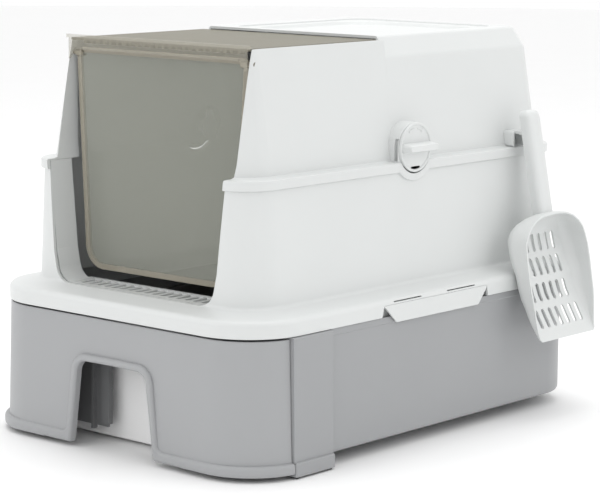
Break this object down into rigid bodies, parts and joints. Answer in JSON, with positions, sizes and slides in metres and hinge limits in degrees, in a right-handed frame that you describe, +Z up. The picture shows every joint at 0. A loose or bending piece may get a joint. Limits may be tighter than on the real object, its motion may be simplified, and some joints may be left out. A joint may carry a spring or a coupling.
{
  "type": "cat litter box with hood",
  "caption": "Hooded cat litter box: grey drawer base with a finger arch, white two-part hood, smoked swing door and top lid, side locks, sill grate and a slotted scoop on a hook.",
  "frame": {"origin": "on the floor at the centre of the body's footprint, without the scoop that hangs on the +X side", "axes": "+X towards the side with the scoop, -Y is the front with the drawer and door, +Z up"},
  "size_m": [0.4564, 0.6, 0.444],
  "materials": {
    "hood_white": "satin moulded polypropylene",
    "base_grey": "satin moulded polypropylene",
    "drawer_grey": "satin moulded polypropylene",
    "pan_grey": "satin moulded polypropylene",
    "dark_grey": "matt",
    "off_white": "matt",
    "knob_white": "matt",
    "scoop_white": "satin",
    "smoked_clear": "clear smoked plastic, polished",
    "smoked_edge": "clear smoked plastic, polished",
    "pad_rubber": "matt"
  },
  "bodies": {
    "base": {"base_frame": "base_grey", "front_leg_left": "base_grey", "front_leg_right": "base_grey", "front_cross_bar": "base_grey", "foot_pads": "pad_rubber"},
    "drawer": {"drawer_front": "drawer_grey", "bin_brackets": "dark_grey", "tray_arms": "drawer_grey", "tray_cross_bars": "drawer_grey", "litter_pan": "pan_grey", "catch_bin": "off_white"},
    "lower_hood": {"lower_hood": "hood_white", "entry_surround": "hood_white", "hood_collar": "hood_white", "entry_jambs": "hood_white", "entry_grate": "hood_white"},
    "latch_left": {"side_latch_left": "hood_white"},
    "latch_right": {"side_latch_right": "hood_white"},
    "upper_hood": {"upper_hood": "hood_white", "scoop_hook": "hood_white"},
    "knob_left": {"lock_knob_left": "knob_white", "knob_cam_left": "knob_white"},
    "knob_right": {"lock_knob_right": "knob_white", "knob_cam_right": "knob_white"},
    "lid": {"top_lid": "smoked_clear", "lid_front_lip": "smoked_clear", "lid_hinge_pins": "knob_white"},
    "door": {"front_door": "smoked_clear", "door_frame": "smoked_edge", "door_pins": "smoked_edge"},
    "scoop": {"scoop_bowl": "scoop_white", "scoop_handle": "scoop_white"}
  },
  "joints": [
    {"name": "drawer_pull", "type": "slide", "parent": "base", "child": "drawer", "axis": [0, -1, 0], "range_m": [0, 0.3]},
    {"name": "lower_hood_lift", "type": "slide", "parent": "base", "child": "lower_hood", "axis": [0, 0, 1], "range_m": [0, 0.15]},
    {"name": "upper_hood_lift", "type": "slide", "parent": "lower_hood", "child": "upper_hood", "axis": [0, 0, 1], "range_m": [0, 0.15]},
    {"name": "latch_left_flip", "type": "hinge", "parent": "lower_hood", "child": "latch_left", "pos_m": [-0.2042, 0.006, 0.1602], "axis": [0, 1, 0], "range_deg": [0, 35]},
    {"name": "latch_right_flip", "type": "hinge", "parent": "lower_hood", "child": "latch_right", "pos_m": [0.2042, 0.006, 0.1602], "axis": [0, -1, 0], "range_deg": [0, 35]},
    {"name": "knob_left_turn", "type": "hinge", "parent": "upper_hood", "child": "knob_left", "pos_m": [-0.16, 0.009, 0.3226], "axis": [-1, 0, 0], "range_deg": [0, 90]},
    {"name": "knob_right_turn", "type": "hinge", "parent": "upper_hood", "child": "knob_right", "pos_m": [0.16, 0.009, 0.3226], "axis": [1, 0, 0], "range_deg": [0, 90]},
    {"name": "lid_open", "type": "hinge", "parent": "upper_hood", "child": "lid", "pos_m": [0, -0.024, 0.434], "axis": [-1, 0, 0], "range_deg": [0, 100]},
    {"name": "door_swing", "type": "hinge", "parent": "upper_hood", "child": "door", "pos_m": [0, -0.2205, 0.424], "axis": [1, 0, 0], "range_deg": [-60, 70]},
    {"name": "scoop_lift", "type": "slide", "parent": "upper_hood", "child": "scoop", "axis": [0, 0, 1], "range_m": [0, 0.25]}
  ]
}
